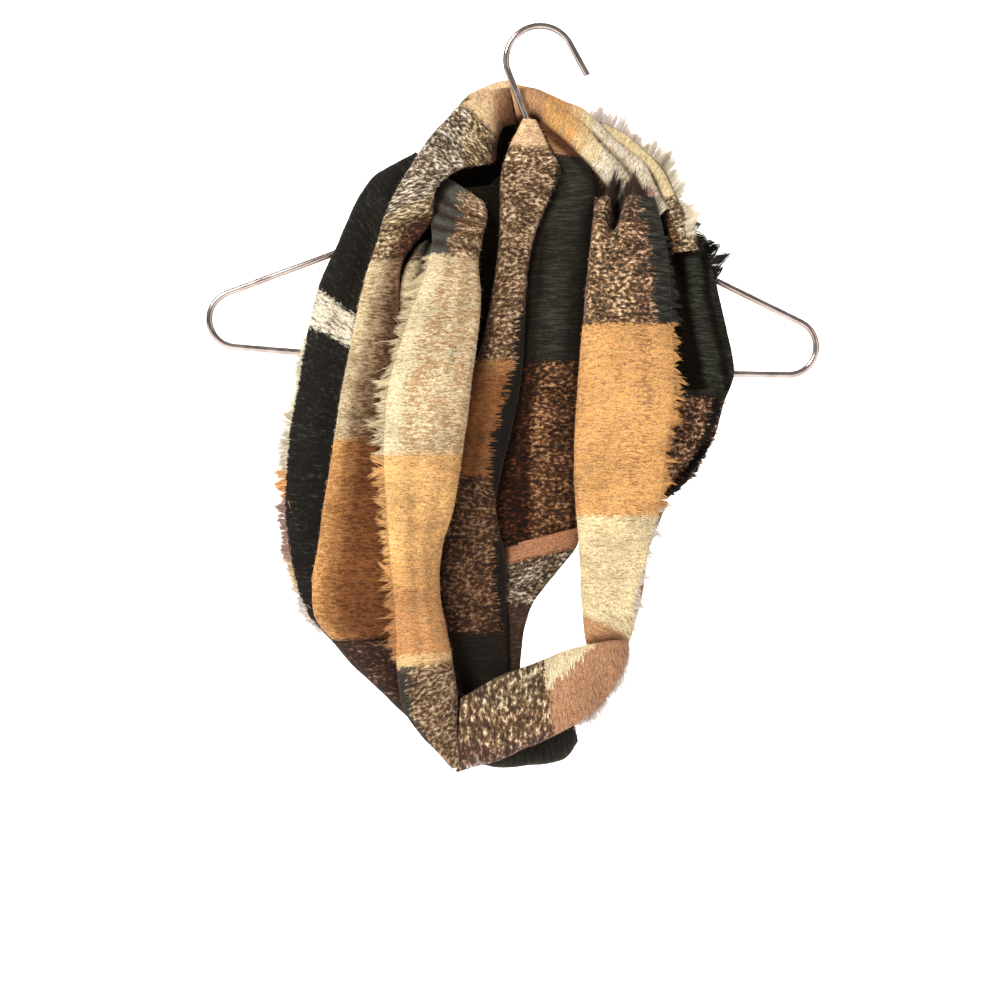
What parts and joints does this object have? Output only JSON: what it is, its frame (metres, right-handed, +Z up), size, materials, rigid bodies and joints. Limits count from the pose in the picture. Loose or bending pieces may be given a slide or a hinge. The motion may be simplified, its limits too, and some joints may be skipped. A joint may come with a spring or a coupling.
{
  "type": "infinity scarf on a wire hanger",
  "caption": "Plaid infinity scarf of brushed cloth, doubled over a bent wire clothes hanger that hangs by its hook.",
  "frame": {"origin": "inside top of the hanger's hook, where it rests on a peg", "axes": "+Z up, -Y toward the scarf's front, the hanger's wires in the XZ plane"},
  "size_m": [0.4191, 0.0993, 0.5074],
  "materials": {
    "hanger_steel": "polished",
    "camel_cloth": "brushed",
    "cream_cloth": "brushed",
    "speckle_cloth": "brushed",
    "dark_cloth": "brushed",
    "fringe_yarn": "brushed"
  },
  "bodies": {
    "root": {"hanger_frame": "hanger_steel", "hanger_hook": "hanger_steel", "outer_left_panel": "camel_cloth", "top_left_lobe": "camel_cloth", "top_right_front_roll": "camel_cloth", "top_right_middle_roll": "camel_cloth", "front_right_panel": "camel_cloth", "back_collar": "camel_cloth", "left_pale_fold": "cream_cloth", "front_left_panel": "cream_cloth", "top_right_outer_roll": "cream_cloth", "front_band": "speckle_cloth", "centre_left_fold": "speckle_cloth", "inner_hem": "speckle_cloth", "side_right_tail": "speckle_cloth", "back_left_layer": "speckle_cloth", "centre_right_fold": "dark_cloth", "outer_bottom": "dark_cloth", "side_left_panel": "dark_cloth", "side_right_panel": "dark_cloth", "front_left_fringe": "fringe_yarn", "front_right_fringe": "fringe_yarn", "front_right_brush": "fringe_yarn", "front_band_fringe": "fringe_yarn", "side_left_fringe": "fringe_yarn", "side_right_fringe": "fringe_yarn", "top_right_fringe": "fringe_yarn"}
  },
  "joints": []
}
